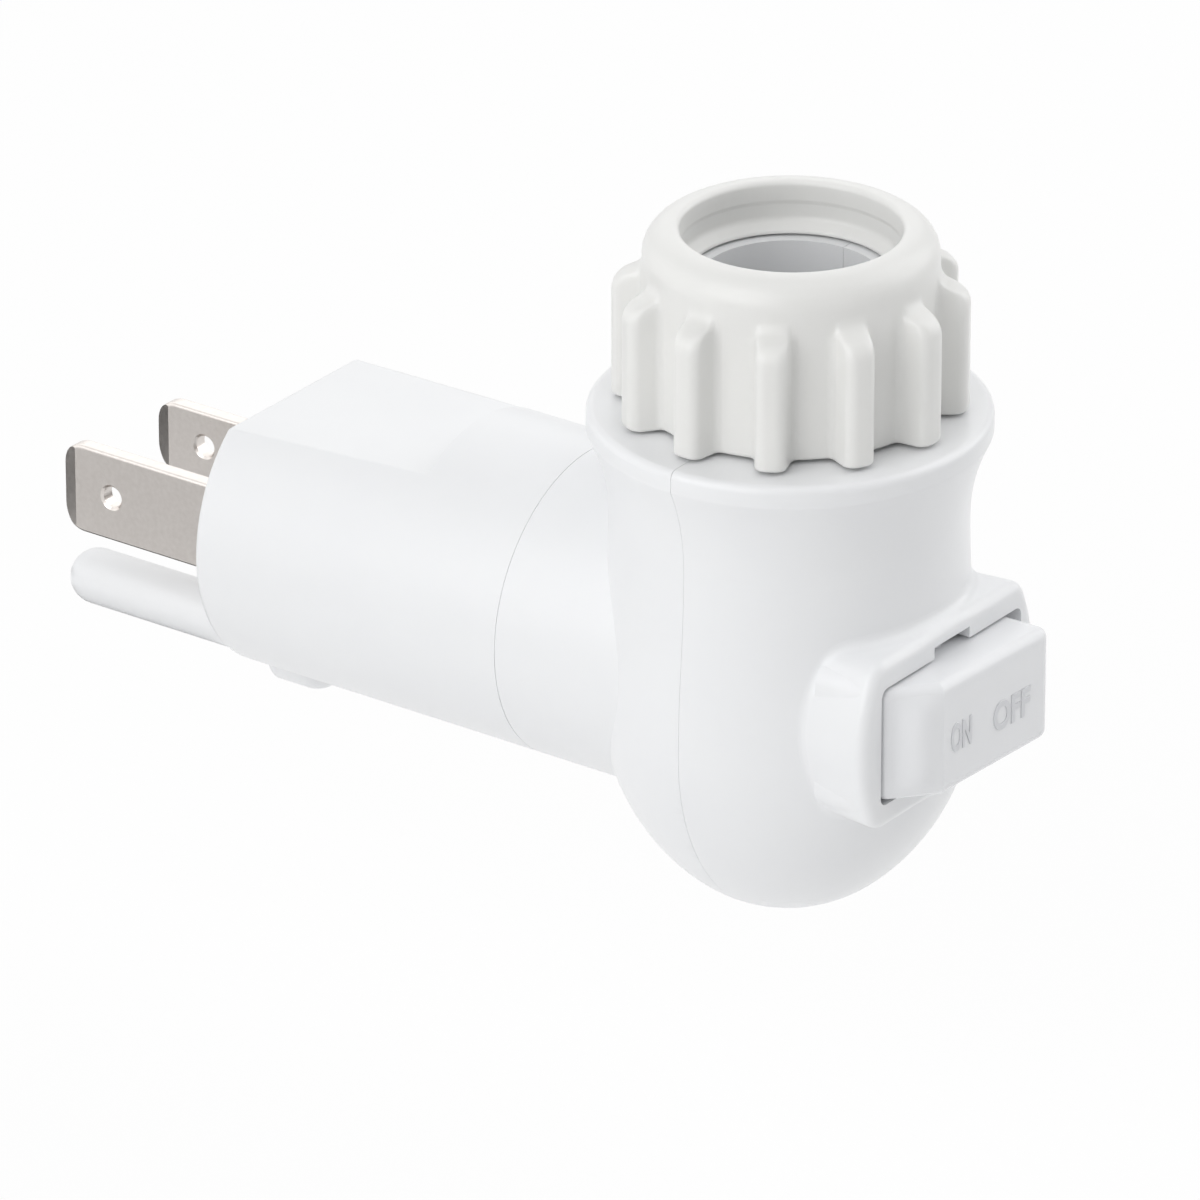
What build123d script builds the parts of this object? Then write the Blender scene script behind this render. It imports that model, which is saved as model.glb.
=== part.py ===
from build123d import *
import os
from math import acos, asin, atan2, degrees, hypot, sin, sqrt

# Plug-in night light socket, in millimetres. From the room, X is right, Y goes into the wall, Z is up.
# The origin is the centre of the plug face, on the axis that the lamp body swivels about.

# Plug housing
plug_radius = 13.4
plug_length = 31.0
plug_wall = 2.0
face_wall = 2.4
end_wall = 2.5
face_rounding = 0.6
flat_height = 10.25
flat_rise = 0.75
flat_length = 20.0
flat_rounding = 0.4

# Blades and ground pin, at the standard spacings of a grounded plug
blade_spacing = 12.7
blade_drop = 0.5
blade_thickness = 1.5
neutral_width = 8.0
line_width = 6.35
blade_length = 18.8
tip_rounding = 2.2
tip_bevel_length = 1.4
tip_bevel_depth = 0.45
blade_hole_radius = 0.95
blade_hole_reach = 13.6
blade_hole_chamfer = 0.2
blade_rounding = 0.3
slot_clearance = 0.05
shoulder_ledge = 1.25
shoulder_length = 2.0
tail_width = 3.0
line_tail_x = 1.2
jog_start = 12.0
jog_length = 9.0
jog_bend = 2.0
pin_offset = 11.9
pin_radius = 2.415
pin_length = 23.2
boss_radius = 3.6
boss_length = 5.0
boss_rounding = 2.0

# Swivel neck, its slip contacts and the ring that retains it
tail_clearance = 0.12
carrier_step = 0.4
neck_wall = 1.3
neck_lip = 1.2
seam_gap = 0.08
bearing_length = 3.8
bearing_clearance = 0.05
retainer_play = 0.1
retainer_thickness = 0.9
retainer_gap = 0.4
retainer_opening = 7.0
groove_depth = 0.6
carrier_thickness = 3.0
slip_thickness = 0.5
slip_margin = 0.1
slip_inset = 0.6
disc_margin = 0.4
fit_clearance = 0.05

# Lamp body
seam_reach = 19.9
body_wall = 2.0
ball_radius = 12.85
side_radius = 20.0
bulge_radius = 15.34
bulge_z = -2.9
waist_radius = 14.66
waist_z = 13.4
flare_radius = 16.73
flange_radius = 16.5
rim_height = 1.87
flange_thickness = 2.0
flange_rounding = 0.7
collar_wall = 2.0
parting_gap = 0.04
neck_height = 11.1
neck_tube_wall = 2.5
sleeve_clearance = 0.1
sleeve_wall = 2.0
sleeve_skirt = 2.0

# Lamp holder
floor_z = 13.05
floor_thickness = 1.9
floor_ledge = 0.9
cup_wall = 0.75
hole_clearance = 0.05
cup_height = 6.0
shell_bore = 6.0
shell_wall = 0.4
shell_length = 14.5
shell_hole = 3.0
foot_step = 0.4
foot_height = 2.0
contact_shank = 1.0
contact_foot = 1.8
contact_head = 2.0
contact_height = 1.6
rivet_reach = 4.3
rivet_shank = 0.6
rivet_head = 1.1
rivet_height = 0.6

# Contact strips
strip_thickness = 0.5
strip_width = 3.0
strip_bend = 0.8
contact_gap = 0.05
pad_half = 1.3
climb_run = 2.6
skirt_clearance = 0.5
rise_margin = 0.6
rise_run = 0.4
strip_end = 1.4
line_run_x = 9.0
line_run_start = 7.0
terminal_width = 4.4
leaf_thickness = 0.4
leaf_margin = 0.7
button_radius = 1.1
button_height = 0.5
leaf_half = 1.8
leaf_climb = 5.0
leaf_lag = 2.0
post_length = 3.0
post_reach = 1.6
post_foot = 1.6

# Switch bezel and rocker
bezel_stand = 0.76
bezel_width = 24.6
bezel_height = 15.0
bezel_bow = 2.1
bezel_corner = 2.0
bezel_depth = 9.5
bezel_draft = 4.0
bezel_rounding = 1.0
bezel_blend = 1.0
switch_z = 0.3
opening_width = 19.8
opening_height = 10.4
opening_corner = 0.8
opening_depth = 12.0
well_wall = 1.5
well_depth = 5.5
well_start = 1.2
notch_width = 5.0
notch_height = 1.0
notch_depth = 1.2
pivot_depth = 2.5
trunnion_radius = 1.2
trunnion_length = 1.4
trunnion_clearance = 0.05
rocker_gap = 0.25
rocker_left_gap = 0.4
rocker_right_gap = 1.5
rocker_depth = 3.6
ridge_x = -5.7
ridge_rise = 3.2
right_rise = 3.9
right_lean = 0.2
rocker_wall = 1.5
rocker_rounding = 0.9
ridge_rounding = 2.0
rocker_corner = 1.0
pusher_x = -6.0
pusher_width = 2.4
pusher_height = 3.0
pusher_rounding = 0.6

# Ring nut
ring_gap = 0.3
ring_clearance = 0.2
ring_wall = 2.0
ring_height = 15.3
ring_opening = 8.975
lip_land = 0.125
mouth_rounding = 0.5
mouth_depth = 1.85
mouth_step = 0.25
rib_count = 12
rib_depth = 2.5
rib_width = 3.3
rib_front = 2.3
rib_root = 1.0
rib_height = 11.7
rib_slope = 0.9
rib_rounding = 0.5
rib_phase = -1.4

# Places along the plug axis, from the face into the lamp body
seam_y = -plug_length
collar_y = seam_y - seam_gap
bearing_y = collar_y - bearing_length
retainer_y = bearing_y - retainer_play
neck_end_y = retainer_y - retainer_thickness - neck_lip
carrier_back_y = neck_end_y + slip_thickness
carrier_seat_y = carrier_back_y + carrier_thickness
lamp_reach = plug_length + seam_reach
lamp_y = -lamp_reach
pin_z = -blade_drop - pin_offset

# Radii of the swivel neck, worked out from the blade tails that pass through it
tail_half = tail_width / 2
tail_bore = hypot(blade_spacing / 2 + blade_thickness / 2, tail_half + blade_drop) + tail_clearance
neck_bore = tail_bore + carrier_step
neck_radius = neck_bore + neck_wall
groove_radius = neck_radius - groove_depth
collar_bore = plug_radius - collar_wall
slip_outer = tail_bore - slip_margin
slip_inner = blade_spacing / 2 - blade_thickness / 2 - slip_inset
disc_radius = hypot(line_tail_x + blade_thickness / 2, tail_half + blade_drop) + disc_margin

# Heights of the flange, the neck and the ring nut above the waist
flare_angle = acos((waist_radius + flare_radius - flange_radius) / flare_radius)
flange_z = waist_z + flare_radius * sin(flare_angle) + rim_height
neck_top_z = flange_z + neck_height
ring_bottom_z = flange_z + ring_gap
ring_top_z = ring_bottom_z + ring_height
rib_top_z = ring_bottom_z + rib_height

# Heights in the lamp holder
floor_top_z = floor_z + floor_thickness
sleeve_bottom_z = floor_z - sleeve_skirt
shell_radius = shell_bore + shell_wall
cup_radius = shell_radius + fit_clearance + cup_wall
sleeve_bore = cup_radius + sleeve_clearance
sleeve_radius = sleeve_bore + sleeve_wall
floor_radius = sleeve_bore + floor_ledge
thread_radius = sleeve_bore + neck_tube_wall
strip_z = floor_z - strip_thickness / 2
strip_bottom_z = floor_z - strip_thickness

# Depths in the switch, whose bezel stands out of the body's bulge
front_y = lamp_y - bulge_radius - bezel_stand
pivot_y = front_y + pivot_depth
leaf_front_y = lamp_y - (sleeve_bore - leaf_margin)
leaf_back_y = leaf_front_y + leaf_thickness
button_meet_y = leaf_back_y + button_height
terminal_y = button_meet_y + button_height + strip_thickness / 2
pad_y = neck_end_y - contact_gap - strip_thickness / 2
rocker_height = opening_height - 2 * rocker_gap

plug_face = Plane.XZ
side = Plane.YZ
lamp_section = Plane.XZ.offset(lamp_reach)
lamp_axis = Axis((0, lamp_y, 0), (0, 0, 1))
pin_axis = Axis((0, 0, pin_z), (0, 1, 0))
bezel_front = Plane(origin=(0, front_y, switch_z), x_dir=(1, 0, 0), z_dir=(0, 1, 0))


def ring_section(inner, outer, low, high):
    """Rectangle in a half section, from an inner to an outer radius and between two places on the axis."""
    with Locations(((inner + outer) / 2, (low + high) / 2)):
        Rectangle(outer - inner, high - low)


# Plug housing with its neck, ground pin and the boss at the pin's root
with BuildPart() as plug_housing:
    with BuildSketch(plug_face):
        Circle(plug_radius)
    extrude(amount=plug_length)
    with BuildSketch(side):
        with BuildLine():
            Polyline(
                (0, flat_height),
                (-flat_length, flat_height + flat_rise),
                (-flat_length, plug_radius),
                (0, plug_radius),
                close=True,
            )
        make_face()
    extrude(amount=plug_radius, both=True, mode=Mode.SUBTRACT)
    flat = plug_housing.faces().filter_by(GeomType.PLANE).sort_by(SortBy.AREA)[1]
    long_edges = flat.edges().sort_by(Axis.X)
    fillet((long_edges[0], long_edges[-1]), flat_rounding)
    fillet(plug_housing.faces().sort_by(Axis.Y)[-1].edges(), face_rounding)
    with BuildSketch(Plane.XY):
        ring_section(0, neck_radius, neck_end_y, seam_y)
    revolve(axis=Axis.Y)
    with BuildSketch(Plane.XY.offset(pin_z)):
        with BuildLine():
            dome = CenterArc((0, pin_length - pin_radius), pin_radius, 90, -90)
            foot = RadiusArc(
                (boss_radius, boss_rounding - boss_length),
                (boss_radius - boss_rounding, -boss_length),
                boss_rounding,
            )
            Polyline(dome @ 1, (pin_radius, 0), (boss_radius, 0), foot @ 0)
            Polyline(foot @ 1, (0, -boss_length), dome @ 0)
        make_face()
    revolve(axis=pin_axis)
    with BuildSketch(plug_face.offset(face_wall)):
        Circle(plug_radius - plug_wall)
        with Locations((0, flat_height - plug_wall + plug_radius)):
            Rectangle(2 * plug_radius, 2 * plug_radius, mode=Mode.SUBTRACT)
    extrude(amount=plug_length - face_wall - end_wall, mode=Mode.SUBTRACT)
    with BuildSketch(plug_face):
        for blade_x, blade_width in ((-blade_spacing / 2, neutral_width), (blade_spacing / 2, line_width)):
            with Locations((blade_x, -blade_drop)):
                Rectangle(blade_thickness + 2 * slot_clearance, blade_width + 2 * slot_clearance)
    extrude(amount=face_wall, mode=Mode.SUBTRACT)
    with BuildSketch(Plane.XY):
        ring_section(0, tail_bore, neck_end_y, seam_y + end_wall)
        ring_section(0, neck_bore, neck_end_y, carrier_seat_y)
        groove_end_y = retainer_y - retainer_thickness - fit_clearance
        ring_section(groove_radius, neck_radius, groove_end_y, retainer_y + fit_clearance)
    revolve(axis=Axis.Y, mode=Mode.SUBTRACT)


def blade_outline(width):
    """Flat outline of a blade with its round-cornered tip, its hole and the shoulder in the plug."""
    with BuildLine() as outline:
        half = width / 2
        ledge = half + shoulder_ledge
        shoulder_y = -face_wall - shoulder_length
        FilletPolyline(
            (-face_wall, half),
            (blade_length, half),
            (blade_length, -half),
            (-face_wall, -half),
            radius=tip_rounding,
        )
        Polyline(
            (-face_wall, -half),
            (-face_wall, -ledge),
            (shoulder_y, -ledge),
            (shoulder_y, ledge),
            (-face_wall, ledge),
            (-face_wall, half),
        )
    make_face(outline.edges())
    with Locations((blade_hole_reach, 0)):
        Circle(blade_hole_radius, mode=Mode.SUBTRACT)


def finish_tip(blade, blade_x, width):
    """Round a blade's outer edges, chamfer its hole and thin its tip with a slope on each broad face."""
    broad_edges = blade.faces().filter_by(Axis.X).edges().filter_by(lambda edge: edge.center().Y > 0)
    hole_edges = broad_edges.filter_by(lambda edge: edge.is_closed)
    fillet(broad_edges - hole_edges, blade_rounding)
    chamfer(hole_edges, blade_hole_chamfer)
    with BuildSketch(Plane.XY.offset(-blade_drop)) as wedges:
        for hand in (-1, 1):
            outer = blade_x + hand * blade_thickness / 2
            Polygon(
                (outer, blade_length - tip_bevel_length),
                (outer, blade_length),
                (outer - hand * tip_bevel_depth, blade_length),
                align=None,
            )
    extrude(wedges.sketch, amount=width, both=True, mode=Mode.SUBTRACT)


def blade_plane(blade_x):
    """Vertical plane of a blade, with its first direction out of the plug face."""
    return Plane(origin=(blade_x, 0, -blade_drop), x_dir=(0, 1, 0), z_dir=(1, 0, 0))


# Wide blade, whose straight tail meets the outer slip ring
neutral_x = -blade_spacing / 2
with BuildPart() as neutral_blade:
    with BuildSketch(blade_plane(neutral_x)):
        blade_outline(neutral_width)
        with Locations(((carrier_back_y - face_wall) / 2, 0)):
            Rectangle(-carrier_back_y - face_wall, tail_width)
    extrude(amount=blade_thickness / 2, both=True)
    finish_tip(neutral_blade, neutral_x, neutral_width)

# Narrow blade, whose tail is jogged inwards to the slip disc
line_x = blade_spacing / 2
with BuildPart() as line_blade:
    with BuildSketch(blade_plane(line_x)):
        blade_outline(line_width)
    extrude(amount=blade_thickness / 2, both=True)
    finish_tip(line_blade, line_x, line_width)
    with BuildSketch(Plane.XY.offset(-blade_drop)):
        with BuildLine():
            FilletPolyline(
                (line_x, -face_wall),
                (line_x, -jog_start),
                (line_tail_x, -jog_start - jog_length),
                (line_tail_x, carrier_back_y),
                radius=jog_bend,
            )
        trace(line_width=blade_thickness)
    extrude(amount=tail_half, both=True)

# Insulating disc in the neck, slotted for the two tails
with BuildPart() as contact_carrier:
    with BuildSketch(plug_face.offset(-carrier_seat_y)):
        Circle(neck_bore - fit_clearance)
        with Locations((neutral_x, -blade_drop), (line_tail_x, -blade_drop)):
            Rectangle(
                blade_thickness + 2 * slot_clearance, tail_width + 2 * slot_clearance, mode=Mode.SUBTRACT
            )
    extrude(amount=carrier_thickness)

with BuildPart() as neutral_slip_ring:
    with BuildSketch(plug_face.offset(-carrier_back_y)):
        Circle(slip_outer)
        Circle(slip_inner, mode=Mode.SUBTRACT)
    extrude(amount=slip_thickness)

with BuildPart() as line_slip_disc:
    with BuildSketch(plug_face.offset(-carrier_back_y)):
        Circle(disc_radius)
    extrude(amount=slip_thickness)

# Open ring that snaps into the neck's groove behind the collar
with BuildPart() as retaining_ring:
    with BuildSketch(plug_face.offset(-retainer_y)):
        Circle(collar_bore - retainer_gap)
        Circle(groove_radius + fit_clearance, mode=Mode.SUBTRACT)
        with Locations((0, -plug_radius / 2)):
            Rectangle(retainer_opening, plug_radius, mode=Mode.SUBTRACT)
    extrude(amount=retainer_thickness)


def body_outline(inset, flare_turn):
    """Half section of the body, inset from its outer surface: ball, side, S-curve and flare in turn."""
    ball_z = bulge_z - sqrt((side_radius - ball_radius) ** 2 - (side_radius - bulge_radius) ** 2)
    meet_angle = degrees(atan2(ball_z - bulge_z, side_radius - bulge_radius))
    ball = CenterArc((0, ball_z), ball_radius - inset, -90, meet_angle + 90)
    flank = CenterArc((bulge_radius - side_radius, bulge_z), side_radius - inset, meet_angle, -meet_angle)
    waist = Vector(waist_radius - inset, waist_z)
    middle = (flank @ 1 + waist) / 2
    lower = TangentArc(flank @ 1, middle, tangent=(0, 1))
    TangentArc(middle, waist, tangent=lower % 1)
    flare = CenterArc((waist_radius + flare_radius, waist_z), flare_radius + inset, 180, -flare_turn)
    return ball @ 0, flare @ 1


def bezel_outline():
    """Outline of the switch bezel: straight top and bottom, bowed ends and round corners."""
    half = bezel_width / 2 - bezel_bow
    with BuildLine() as outline:
        ThreePointArc((half, bezel_height / 2), (bezel_width / 2, 0), (half, -bezel_height / 2))
        Line((half, -bezel_height / 2), (-half, -bezel_height / 2))
        ThreePointArc((-half, -bezel_height / 2), (-bezel_width / 2, 0), (-half, bezel_height / 2))
        Line((-half, bezel_height / 2), (half, bezel_height / 2))
    make_face(outline.edges())


# Lamp body as one hollow form, which the parting plane then cuts into two shells
with BuildPart() as lamp_body:
    with BuildSketch(lamp_section) as body_section:
        with BuildLine():
            pole, rim = body_outline(0, degrees(flare_angle))
            Polyline(rim, (flange_radius, flange_z), (0, flange_z), pole)
        make_face()
        fillet(body_section.vertices().group_by(Axis.X)[-1], flange_rounding)
    revolve(axis=lamp_axis)
    with BuildSketch(bezel_front) as bezel_face:
        bezel_outline()
        fillet(bezel_face.vertices(), bezel_corner)
    extrude(amount=bezel_depth, taper=bezel_draft)
    bezel_edges = lamp_body.edges(Select.NEW)
    root_edges = bezel_edges.filter_by(lambda edge: edge.bounding_box().min.Y > front_y + bezel_rounding)
    fillet(root_edges, bezel_blend)
    fillet(lamp_body.faces().sort_by(Axis.Y)[0].edges(), bezel_rounding)
    with BuildSketch(plug_face.offset(-collar_y)):
        Circle(plug_radius)
    extrude(amount=lamp_reach + collar_y)
    with BuildSketch(lamp_section):
        with BuildLine():
            ceiling = flange_z - flange_thickness
            inner_turn = degrees(asin((ceiling - waist_z) / (flare_radius + body_wall)))
            pole, rim = body_outline(body_wall, inner_turn)
            Polyline(rim, (0, ceiling), pole)
        make_face()
    revolve(axis=lamp_axis, mode=Mode.SUBTRACT)
    with BuildSketch(plug_face.offset(-bearing_y)):
        Circle(collar_bore)
    extrude(amount=(lamp_reach + bearing_y) / 2, mode=Mode.SUBTRACT)
    with BuildSketch(plug_face.offset(-collar_y)):
        Circle(neck_radius + bearing_clearance)
    extrude(amount=bearing_length, mode=Mode.SUBTRACT)
    with BuildSketch(lamp_section):
        ring_section(0, sleeve_radius, sleeve_bottom_z, flange_z)
        ring_section(0, thread_radius, flange_z, neck_top_z)
    revolve(axis=lamp_axis)
    with BuildSketch(lamp_section):
        ring_section(0, sleeve_bore, sleeve_bottom_z, neck_top_z)
        ring_section(0, floor_radius + fit_clearance, floor_z - fit_clearance, floor_top_z + fit_clearance)
    revolve(axis=lamp_axis, mode=Mode.SUBTRACT)
    with BuildSketch(bezel_front.offset(well_start)):
        RectangleRounded(
            opening_width + 2 * well_wall, opening_height + 2 * well_wall, opening_corner + well_wall
        )
    extrude(amount=well_depth - well_start)
    with BuildSketch(bezel_front):
        RectangleRounded(opening_width, opening_height, opening_corner)
    extrude(amount=opening_depth, mode=Mode.SUBTRACT)
    with BuildSketch(bezel_front):
        Rectangle(notch_width, opening_height + 2 * notch_height)
    extrude(amount=notch_depth, mode=Mode.SUBTRACT)
    with BuildSketch(Plane.XY.offset(switch_z)):
        with Locations((0, pivot_y)):
            Circle(trunnion_radius + trunnion_clearance)
    extrude(amount=rocker_height / 2 + trunnion_length + trunnion_clearance, both=True, mode=Mode.SUBTRACT)

# Rear half with the collar, and the slotted post that holds the line strip
with BuildPart() as rear_shell:
    add(lamp_body.part)
    split(bisect_by=lamp_section.offset(-parting_gap / 2), keep=Keep.BOTTOM)
    post_root_x = body_wall / 2 - bulge_radius
    post_tip_x = post_foot - line_run_x
    with BuildSketch(Plane.XY.offset(-strip_width / 2 - post_foot)):
        with Locations(((post_root_x + post_tip_x) / 2, lamp_y + post_reach + post_length / 2)):
            Rectangle(post_tip_x - post_root_x, post_length)
    extrude(amount=strip_width + post_foot)
    with BuildSketch(Plane.XY.offset(-strip_width / 2)):
        with Locations((-line_run_x, lamp_y + post_reach + post_length / 2)):
            Rectangle(strip_thickness + 2 * fit_clearance, post_length)
    extrude(amount=strip_width, mode=Mode.SUBTRACT)

# Front half with the switch bezel
with BuildPart() as front_shell:
    add(lamp_body.part)
    split(bisect_by=lamp_section.offset(parting_gap / 2), keep=Keep.TOP)

# Insulator that the two shells clamp by its floor, with a cup round the foot of the screw shell
rivet_y = lamp_y + rivet_reach
with BuildPart() as socket_insulator:
    with BuildSketch(lamp_section):
        ring_section(0, floor_radius, floor_z, floor_top_z)
        ring_section(cup_radius - cup_wall, cup_radius, floor_top_z, floor_top_z + cup_height)
    revolve(axis=lamp_axis)
    with BuildSketch(Plane.XY.offset(floor_z)):
        with Locations((0, lamp_y)):
            Circle(contact_shank + hole_clearance)
        with Locations((0, rivet_y)):
            Circle(rivet_shank + hole_clearance)
    extrude(amount=floor_thickness, mode=Mode.SUBTRACT)

# Screw shell of the lamp holder, drawn in at the foot, with its inner wall at the lamp's thread
with BuildPart() as screw_shell:
    with BuildSketch(lamp_section):
        foot_bore = shell_bore - foot_step
        foot_top_z = floor_top_z + foot_height
        ring_section(shell_bore, shell_radius, foot_top_z - shell_wall, floor_top_z + shell_length)
        ring_section(foot_bore, shell_radius, foot_top_z - shell_wall, foot_top_z)
        ring_section(foot_bore, foot_bore + shell_wall, floor_top_z, foot_top_z)
        ring_section(shell_hole, foot_bore + shell_wall, floor_top_z, floor_top_z + shell_wall)
    revolve(axis=lamp_axis)
    with BuildSketch(Plane.XY.offset(floor_top_z)):
        with Locations((0, rivet_y)):
            Circle(rivet_shank + hole_clearance)
    extrude(amount=shell_wall, mode=Mode.SUBTRACT)

# Domed rivet at the bottom of the lamp holder, which the lamp's tip presses on
with BuildPart() as centre_contact:
    with BuildSketch(lamp_section):
        ring_section(0, contact_foot, strip_bottom_z - rivet_height, strip_bottom_z)
        ring_section(0, contact_shank, strip_bottom_z, floor_top_z)
        with BuildLine():
            dome = TangentArc(
                (0, floor_top_z + contact_height), (contact_head, floor_top_z), tangent=(1, 0)
            )
            Polyline(dome @ 1, (0, floor_top_z), dome @ 0)
        make_face()
    revolve(axis=lamp_axis)

# Rivet that joins the neutral strip to the screw shell through the floor
with BuildPart() as neutral_rivet:
    with BuildSketch(Plane.XZ.offset(-rivet_y)):
        ring_section(0, rivet_head, strip_bottom_z - rivet_height, strip_bottom_z)
        ring_section(0, rivet_shank, strip_bottom_z, floor_top_z + shell_wall)
        ring_section(0, rivet_head, floor_top_z + shell_wall, floor_top_z + shell_wall + rivet_height)
    revolve(axis=Axis((0, rivet_y, 0), (0, 0, 1)))

# Neutral strip: pad on the outer slip ring, under the sleeve and up to the floor of the lamp holder
with BuildPart() as neutral_wiper:
    slip_middle = (slip_inner + slip_outer) / 2
    pass_z = sleeve_bottom_z - skirt_clearance - strip_thickness / 2
    rise_y = lamp_y + sleeve_bore - rise_margin
    with BuildSketch(side):
        with BuildLine():
            FilletPolyline(
                (pad_y, slip_middle - pad_half),
                (pad_y, slip_middle + pad_half),
                (pad_y - climb_run, pass_z),
                (rise_y, pass_z),
                (rise_y - rise_run, strip_z),
                (rivet_y - strip_end, strip_z),
                radius=strip_bend,
            )
        trace(line_width=strip_thickness)
    extrude(amount=strip_width / 2, both=True)
    with BuildSketch(Plane.XY.offset(strip_bottom_z)):
        with Locations((0, rivet_y)):
            Circle(rivet_shank + hole_clearance)
    extrude(amount=strip_thickness, mode=Mode.SUBTRACT)

# Line strip: pad on the slip disc, then along the rear shell's post to the switch terminal
with BuildPart() as line_wiper:
    with BuildSketch(Plane.XY):
        with BuildLine():
            FilletPolyline(
                (pad_half, pad_y),
                (-pad_half, pad_y),
                (-line_run_x, pad_y - line_run_start),
                (-line_run_x, terminal_y),
                (terminal_width - line_run_x, terminal_y),
                radius=strip_bend,
            )
        trace(line_width=strip_thickness)
    extrude(amount=strip_width / 2, both=True)

# Spring leaf of the switch, from its contact pad up to the centre contact
with BuildPart() as switch_leaf:
    with BuildSketch(Plane.XZ.offset(-leaf_back_y)):
        pad_low = switch_z - leaf_half
        pad_high = switch_z + leaf_half
        Polygon(
            (pusher_x - leaf_half, pad_low),
            (pusher_x + leaf_half, pad_low),
            (pusher_x + leaf_half, pad_high),
            (strip_width / 2, pad_high + leaf_climb),
            (strip_width / 2, floor_z),
            (-strip_width / 2, floor_z),
            (-strip_width / 2, pad_high + leaf_climb + leaf_lag),
            (pusher_x - leaf_half, pad_high + leaf_lag),
            align=None,
        )
    extrude(amount=leaf_thickness)
    with BuildSketch(Plane.XY.offset(strip_bottom_z)):
        with Locations((0, (leaf_front_y + lamp_y + contact_foot) / 2)):
            Rectangle(strip_width, lamp_y + contact_foot - leaf_front_y)
        with Locations((0, lamp_y)):
            Circle(contact_shank + hole_clearance, mode=Mode.SUBTRACT)
    extrude(amount=strip_thickness)

# Contact buttons of the switch, on the leaf and on the line strip's terminal, which meet when it is on
with BuildPart() as leaf_button:
    with BuildSketch(Plane.XZ.offset(-button_meet_y)):
        with Locations((pusher_x, switch_z)):
            Circle(button_radius)
    extrude(amount=button_height)

with BuildPart() as terminal_button:
    with BuildSketch(Plane.XZ.offset(-button_meet_y)):
        with Locations((pusher_x, switch_z)):
            Circle(button_radius)
    extrude(amount=-button_height)


def rocker_outline(depth):
    """Plan of the rocker: sloping end at the left, long face, and a nearly square end at the right."""
    left_x = rocker_left_gap - opening_width / 2
    right_x = opening_width / 2 - rocker_right_gap
    Polygon(
        (left_x, front_y + depth),
        (left_x, front_y),
        (ridge_x, front_y - ridge_rise),
        (right_x + right_lean, front_y - right_rise),
        (right_x, front_y + depth),
        align=None,
    )


# Rocker, hollow at the back, with its two trunnions and the pusher that closes the switch leaf
with BuildPart() as rocker:
    with BuildSketch(Plane.XY.offset(switch_z)) as rocker_plan:
        rocker_outline(rocker_depth)
        right_corner, ridge, left_corner = rocker_plan.vertices().sort_by(Axis.Y)[:3]
        fillet((right_corner, left_corner), rocker_corner)
        fillet(ridge, ridge_rounding)
    extrude(amount=rocker_height / 2, both=True)
    side_edges = rocker.faces().filter_by(Axis.Z).edges()
    fillet(side_edges - rocker.faces().sort_by(Axis.Y)[-1].edges(), rocker_rounding)
    with BuildSketch(Plane.XY.offset(switch_z)):
        rocker_outline(rocker_depth + rocker_wall)
        offset(amount=-rocker_wall, mode=Mode.REPLACE)
    extrude(amount=rocker_height / 2 - rocker_wall, both=True, mode=Mode.SUBTRACT)
    with BuildSketch(Plane.XY.offset(switch_z + rocker_height / 2 - rocker_wall)):
        with Locations((0, pivot_y)):
            Circle(trunnion_radius)
    extrude(amount=rocker_wall + trunnion_length)
    with BuildSketch(Plane.XY.offset(switch_z - rocker_height / 2 + rocker_wall)):
        with Locations((0, pivot_y)):
            Circle(trunnion_radius)
    extrude(amount=-rocker_wall - trunnion_length)
    pusher_tip_y = leaf_front_y - contact_gap
    pusher_root_y = front_y - ridge_rise / 2
    with BuildSketch(Plane.XY.offset(switch_z)) as pusher:
        with Locations((pusher_x, (pusher_tip_y + pusher_root_y) / 2)):
            Rectangle(pusher_width, pusher_tip_y - pusher_root_y)
        fillet(pusher.vertices().group_by(Axis.Y)[-1], pusher_rounding)
    extrude(amount=pusher_height / 2, both=True)

# One rib of the ring nut, narrower at the front and with a sloping top, on the X axis of the ring
ring_bore = thread_radius + ring_clearance
ring_radius = ring_bore + ring_wall
rib_reach = ring_radius + rib_depth
with BuildPart() as rib:
    with BuildSketch(Plane.XY.offset(ring_bottom_z)):
        Polygon(
            (ring_radius - rib_root, -rib_width / 2),
            (rib_reach, -rib_front / 2),
            (rib_reach, rib_front / 2),
            (ring_radius - rib_root, rib_width / 2),
            align=None,
        )
    extrude(amount=rib_height)
    with BuildSketch(Plane.XZ):
        Polygon(
            (ring_radius, rib_top_z),
            (rib_reach, rib_top_z - rib_slope),
            (rib_reach, rib_top_z),
            align=None,
        )
    extrude(amount=rib_width, both=True, mode=Mode.SUBTRACT)
    outer_start = ring_radius + (rib_depth - rib_root / 2) / 2
    fillet(rib.edges().filter_by_position(Axis.X, outer_start, rib_reach), rib_rounding)

# Ring nut with its ring of ribs
with BuildPart() as ring_nut:
    lip_z = neck_top_z + ring_gap
    lip_rounding = ring_radius - ring_opening - mouth_rounding - lip_land
    with Locations((0, lamp_y)):
        with PolarLocations(0, rib_count, start_angle=rib_phase):
            add(rib.part)
    with BuildSketch(lamp_section) as ring_half:
        with BuildLine():
            Polyline(
                (ring_bore, ring_bottom_z),
                (ring_radius, ring_bottom_z),
                (ring_radius, ring_top_z),
                (ring_opening, ring_top_z),
                (ring_opening, ring_top_z - mouth_depth),
                (ring_opening + mouth_step, ring_top_z - mouth_depth),
                (ring_opening + mouth_step, lip_z),
                (ring_bore, lip_z),
                close=True,
            )
        make_face()
        fillet(ring_half.vertices().group_by(Axis.Y)[-1].sort_by(Axis.X)[-1], lip_rounding)
        fillet(ring_half.vertices().group_by(Axis.Y)[-1].sort_by(Axis.X)[0], mouth_rounding)
    revolve(axis=lamp_axis)

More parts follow.
